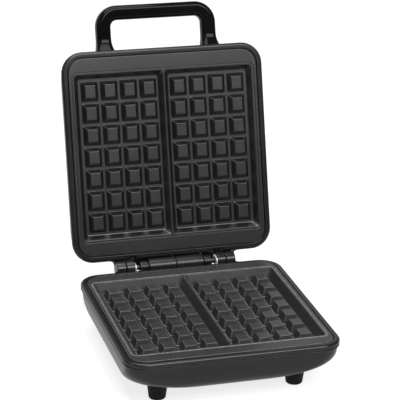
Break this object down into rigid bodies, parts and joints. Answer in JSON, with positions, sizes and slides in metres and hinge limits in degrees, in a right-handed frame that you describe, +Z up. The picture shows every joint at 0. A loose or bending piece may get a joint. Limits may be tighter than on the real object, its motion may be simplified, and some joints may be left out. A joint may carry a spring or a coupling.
{
  "type": "waffle maker",
  "caption": "Double waffle maker with deep knobbed plates, a lid that swings up and back on a rear hinge, a loop handle in front and round feet.",
  "frame": {"origin": "on the table, under the middle of the two waffle grids of the lower plate", "axes": "+Z up, -Y towards the user and the handle side when shut, +X to the user's right; the lid is drawn open"},
  "size_m": [0.232, 0.357, 0.3345],
  "materials": {
    "housing_gloss": "polished black moulding",
    "trim_gloss": "polished black moulding",
    "lower_nonstick": "dark non-stick coating on cast aluminium",
    "upper_nonstick": "dark non-stick coating on cast aluminium",
    "heater_steel": "drawn tube, heat-stained",
    "zinc_steel": "zinc plated sheet",
    "ceramic": "unglazed ceramic",
    "shield_aluminium": "mill finish sheet",
    "screw_steel": "zinc plated",
    "phenolic": "moulded phenolic",
    "fuse_sleeve": "woven glass sleeve",
    "terminal_plastic": "matt moulding",
    "lead_sleeve": "silicone sleeve",
    "bush_plastic": "matt black moulding",
    "foot_plastic": "matt black moulding",
    "foot_rubber": "matt black rubber",
    "pin_steel": "ground steel",
    "strap_steel": "plated steel sheet",
    "barrel_plastic": "satin black moulding",
    "red_lens": "translucent red plastic",
    "green_lens": "translucent green plastic",
    "lamp_glass": "clear glass",
    "handle_gloss": "polished black moulding"
  },
  "bodies": {
    "base": {"base_housing": "housing_gloss", "base_trim": "trim_gloss", "lower_plate": "lower_nonstick", "lower_heater": "heater_steel", "lower_heater_clamps": "zinc_steel", "lower_heater_ceramics": "ceramic", "lower_heat_shield": "shield_aluminium", "lower_plate_screws": "screw_steel", "thermostat": "phenolic", "thermostat_strap": "zinc_steel", "thermal_fuse": "fuse_sleeve", "terminal_block": "terminal_plastic", "base_leads": "lead_sleeve", "cord_inlet_bush": "bush_plastic", "cord_inlet_nut": "bush_plastic", "foot_front_left": "foot_plastic", "foot_front_right": "foot_plastic", "foot_rear_left": "foot_plastic", "foot_rear_right": "foot_plastic", "foot_pads": "foot_rubber", "foot_screws": "screw_steel", "hinge_pin_left": "pin_steel", "hinge_pin_right": "pin_steel", "hinge_strap_left": "strap_steel", "hinge_strap_right": "strap_steel", "barrel_base_half": "barrel_plastic", "collar_left": "barrel_plastic"},
    "lid": {"lid_housing": "housing_gloss", "lid_trim": "trim_gloss", "upper_plate": "upper_nonstick", "upper_heater": "heater_steel", "upper_heater_clamps": "zinc_steel", "upper_heater_ceramics": "ceramic", "upper_heat_shield": "shield_aluminium", "upper_plate_screws": "screw_steel", "lid_frame_screws": "screw_steel", "lid_leads": "lead_sleeve", "barrel_lid_half": "barrel_plastic", "collar_right": "barrel_plastic", "power_lens": "red_lens", "ready_lens": "green_lens", "indicator_lamps": "lamp_glass", "lamp_carrier": "terminal_plastic", "lamp_carrier_screws": "screw_steel", "handle_grip": "handle_gloss", "handle_crest": "handle_gloss", "handle_screws": "screw_steel"}
  },
  "joints": [
    {"name": "lid_hinge", "type": "hinge", "parent": "base", "child": "lid", "pos_m": [0, 0.1268, 0.058], "axis": [1, 0, 0], "range_deg": [0, 106]}
  ]
}
